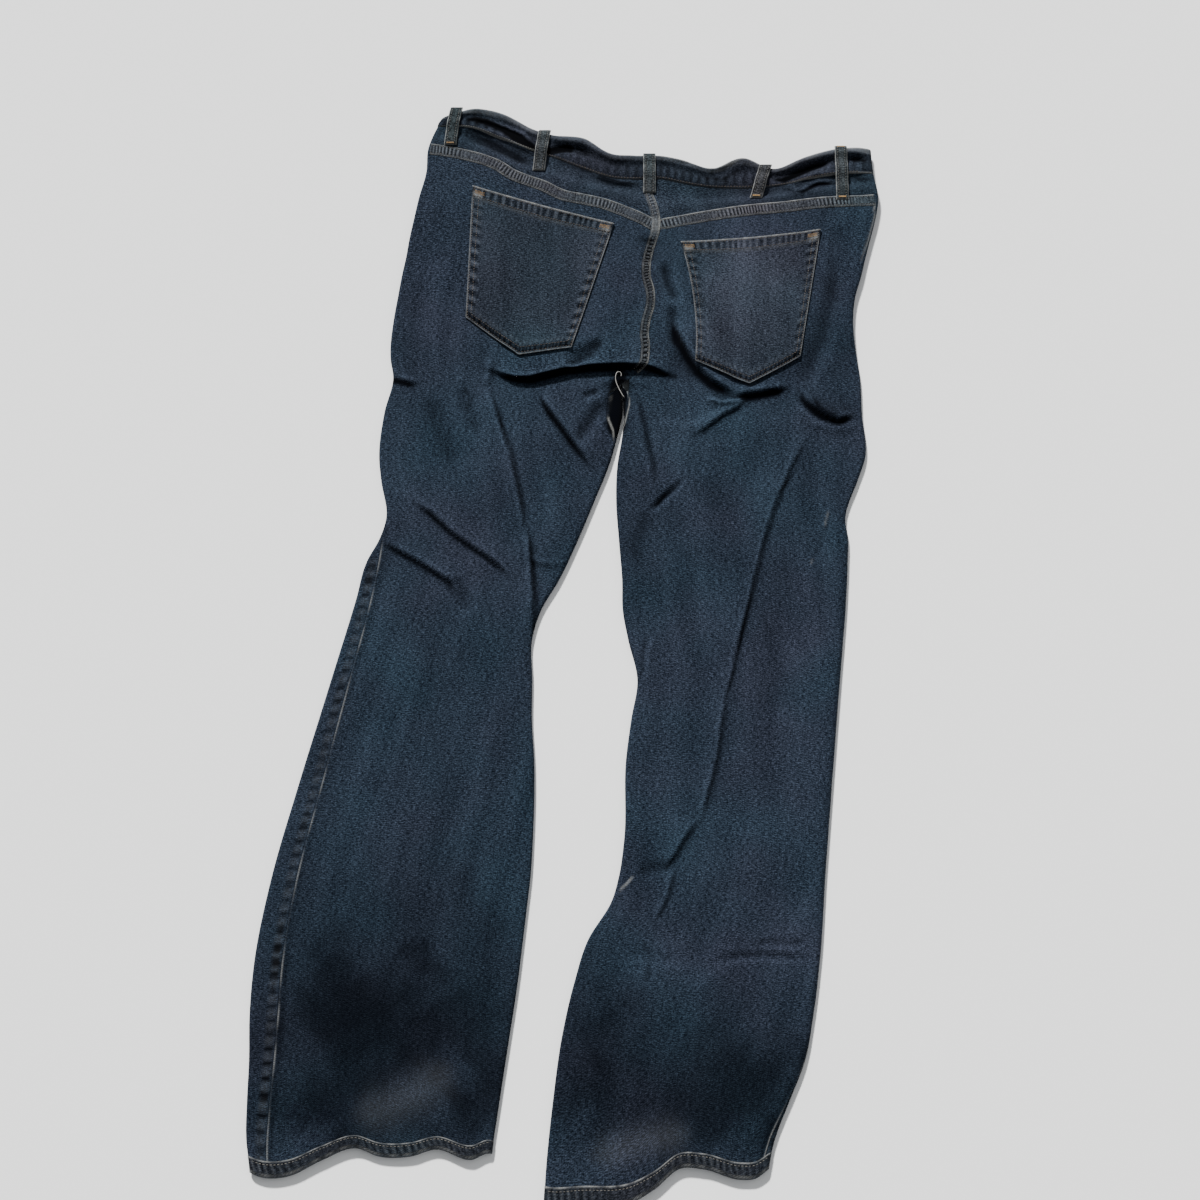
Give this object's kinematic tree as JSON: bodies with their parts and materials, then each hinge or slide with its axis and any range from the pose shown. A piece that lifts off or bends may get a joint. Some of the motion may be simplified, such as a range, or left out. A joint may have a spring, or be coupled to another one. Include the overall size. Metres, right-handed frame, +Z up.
{
  "type": "bootcut jeans laid flat",
  "caption": "Bootcut denim jeans laid flat on their front, back side up, with patch pockets, yoke, belt loops and flared legs.",
  "frame": {"origin": "on the ground under the middle of the jeans' outline", "axes": "+X to the right of a viewer at the hems, +Y from the hems to the waist, +Z up from the ground to the seat side"},
  "size_m": [0.5933, 1.0904, 0.0186],
  "materials": {
    "denim": "washed indigo denim, faded over the seat, with a crosswise stretch weave",
    "button_metal": "worn antique copper"
  },
  "bodies": {
    "root": {"back_left": "denim", "back_right": "denim", "yoke_left": "denim", "yoke_right": "denim", "front_left": "denim", "front_right": "denim", "front_pocket_left": "denim", "front_pocket_right": "denim", "waistband": "denim", "pocket_left": "denim", "pocket_right": "denim", "belt_loop_side_left": "denim", "belt_loop_back_left": "denim", "belt_loop_centre": "denim", "belt_loop_back_right": "denim", "belt_loop_side_right": "denim", "belt_loop_front_left": "denim", "belt_loop_front_right": "denim", "fly_flap": "denim", "button": "button_metal"}
  },
  "joints": []
}
